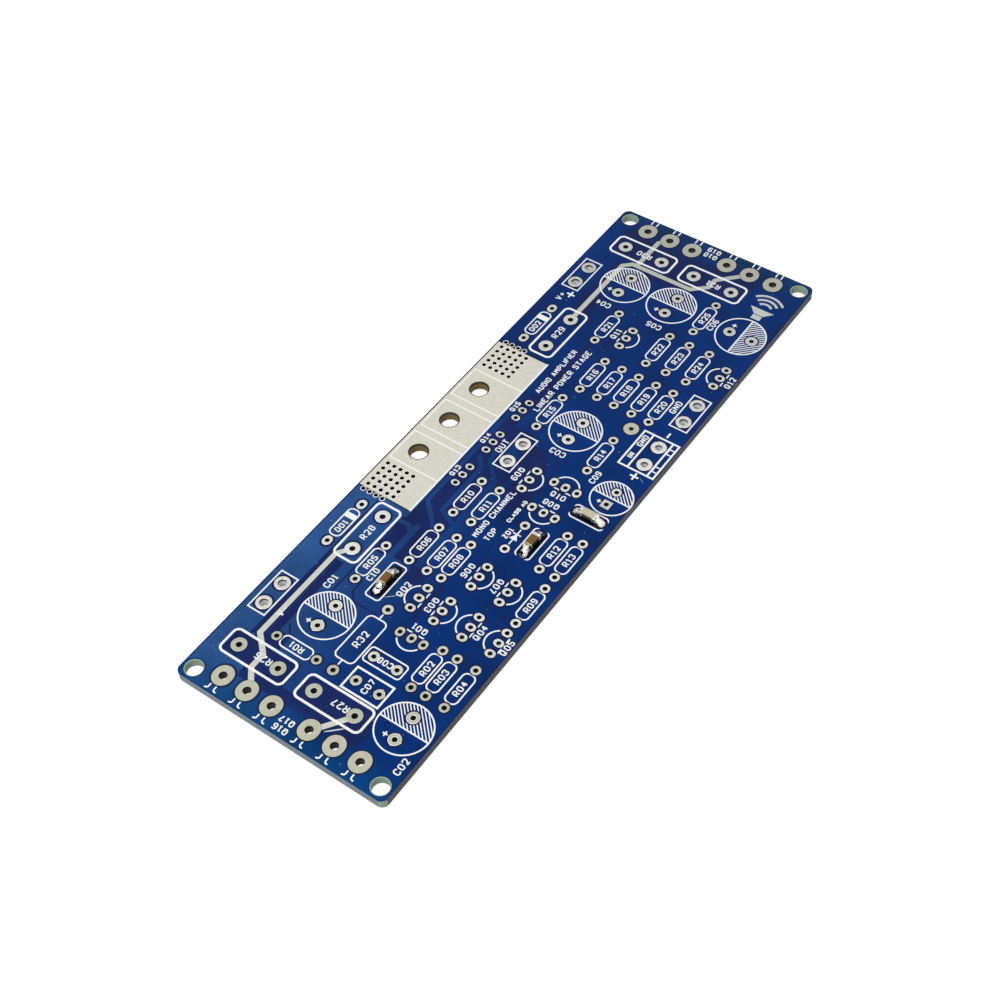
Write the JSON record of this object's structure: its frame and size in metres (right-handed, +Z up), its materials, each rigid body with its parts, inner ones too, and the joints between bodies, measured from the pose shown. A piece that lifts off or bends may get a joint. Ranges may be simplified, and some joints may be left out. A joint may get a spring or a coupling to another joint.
{
  "type": "bare audio power amplifier circuit board",
  "caption": "Long blue circuit board for an audio power amplifier: tinned pads, heat spreader strip, printed outlines and soldered chip capacitors.",
  "frame": {"origin": "middle of the board's length and width, on the plane of the pads' undersides", "axes": "+X along the board's length, +Y towards the edge with the tinned heat spreader land, +Z up out of the component side"},
  "size_m": [0.1436, 0.0456, 0.0036],
  "materials": {
    "glass_epoxy": "matte",
    "copper": "satin",
    "solder_mask": "gloss",
    "tinned_copper": "satin",
    "tinned_pad": "satin",
    "legend_ink": "matte",
    "solder": "gloss",
    "end_cap": "satin",
    "chip_brown": "satin",
    "chip_pale": "satin"
  },
  "bodies": {
    "root": {"laminate": "glass_epoxy", "top_foil": "copper", "bottom_foil": "copper", "top_mask": "solder_mask", "bottom_mask": "solder_mask", "heat_spreader": "tinned_copper", "thermal_vias": "tinned_pad", "negative_track": "tinned_copper", "positive_track": "tinned_copper", "emitter_track": "tinned_copper", "power_transistor_pads": "tinned_pad", "emitter_resistor_pads": "tinned_pad", "resistor_pads": "tinned_pad", "load_resistor_pads": "tinned_pad", "diode_pads": "tinned_pad", "zener_pads": "tinned_pad", "small_transistor_pads": "tinned_pad", "driver_transistor_pads": "tinned_pad", "electrolytic_pads": "tinned_pad", "film_capacitor_pads": "tinned_pad", "chip_capacitor_pads": "tinned_pad", "terminal_pads": "tinned_pad", "test_pad": "tinned_pad", "resistor_legend": "legend_ink", "emitter_resistor_legend": "legend_ink", "small_transistor_legend": "legend_ink", "power_leg_legend": "legend_ink", "electrolytic_legend": "legend_ink", "film_capacitor_legend": "legend_ink", "chip_capacitor_legend": "legend_ink", "diode_legend": "legend_ink", "terminal_legend": "legend_ink", "heat_spreader_legend": "legend_ink", "chip_1_body": "chip_brown", "chip_2_body": "chip_brown", "chip_3_body": "chip_pale", "chip_1_end_caps": "end_cap", "chip_2_end_caps": "end_cap", "chip_3_end_caps": "end_cap", "chip_1_solder": "solder", "chip_2_solder": "solder", "chip_3_solder": "solder"}
  },
  "joints": []
}
